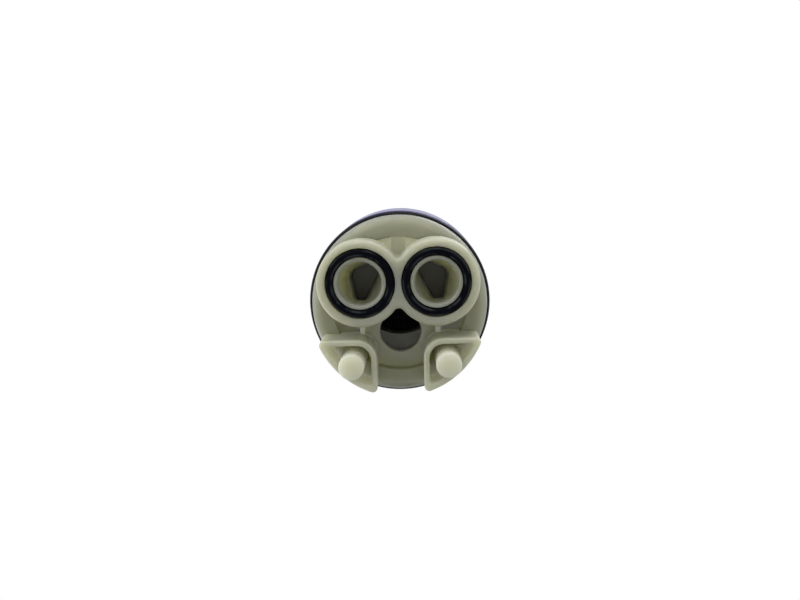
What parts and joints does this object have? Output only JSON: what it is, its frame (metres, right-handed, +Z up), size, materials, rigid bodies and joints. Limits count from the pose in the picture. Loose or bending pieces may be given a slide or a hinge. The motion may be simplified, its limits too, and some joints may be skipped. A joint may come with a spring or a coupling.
{
  "type": "faucet cartridge",
  "caption": "Single-lever ceramic-disc mixing cartridge with a figure-eight inlet boss, locating pegs and a tilting, turning stem.",
  "frame": {"origin": "on the turning axis, in the plane where the port boss and the feet seat in the faucet body", "axes": "+Z up along the turning axis to the stem, +X across the two inlets, -Y towards the inlets and +Y towards the pegs"},
  "size_m": [0.0359, 0.0358, 0.0576],
  "materials": {
    "base_plastic": "ivory moulded plastic, satin",
    "seal_rubber": "black nitrile rubber, lightly greased",
    "ceramic": "lapped alumina",
    "mixer_plastic": "black moulded plastic",
    "rotor_plastic": "white moulded plastic",
    "slip_plastic": "waxy low-friction plastic",
    "washer_plastic": "black low-friction plastic",
    "steel": "ground stainless pin",
    "zinc": "die-cast, tumbled",
    "housing_plastic": "violet moulded plastic",
    "ring_plastic": "red moulded plastic"
  },
  "bodies": {
    "body": {"base": "base_plastic", "inlet_seal_left": "seal_rubber", "inlet_seal_right": "seal_rubber", "body_o_ring": "seal_rubber", "disc_seal_left": "seal_rubber", "disc_seal_right": "seal_rubber", "outlet_seal": "seal_rubber", "fixed_disc": "ceramic", "bearing_washer": "washer_plastic", "housing": "housing_plastic", "limit_ring": "ring_plastic"},
    "rotor": {"rotor": "rotor_plastic", "slip_ring": "slip_plastic", "pivot_pin": "steel"},
    "disc": {"moving_disc": "ceramic", "flow_silencer": "mixer_plastic", "carrier_seal": "seal_rubber", "disc_carrier": "mixer_plastic"},
    "lever": {"lever_stem": "zinc", "ball_cap": "slip_plastic"}
  },
  "joints": [
    {"name": "stem_turn", "type": "hinge", "parent": "body", "child": "rotor", "pos_m": [0, 0, 0.032], "axis": [0, 0, 1], "range_deg": [-50, 50]},
    {"name": "lever_tilt", "type": "hinge", "parent": "rotor", "child": "lever", "pos_m": [0, 0, 0.032], "axis": [-1, 0, 0], "range_deg": [0, 25]},
    {"name": "disc_slide", "type": "slide", "parent": "rotor", "child": "disc", "axis": [0, -1, 0], "range_m": [0, 0.00347]}
  ],
  "couplings": [
    {"joint": "disc_slide", "follows": "lever_tilt", "m_per_rad": 0.0079367}
  ]
}
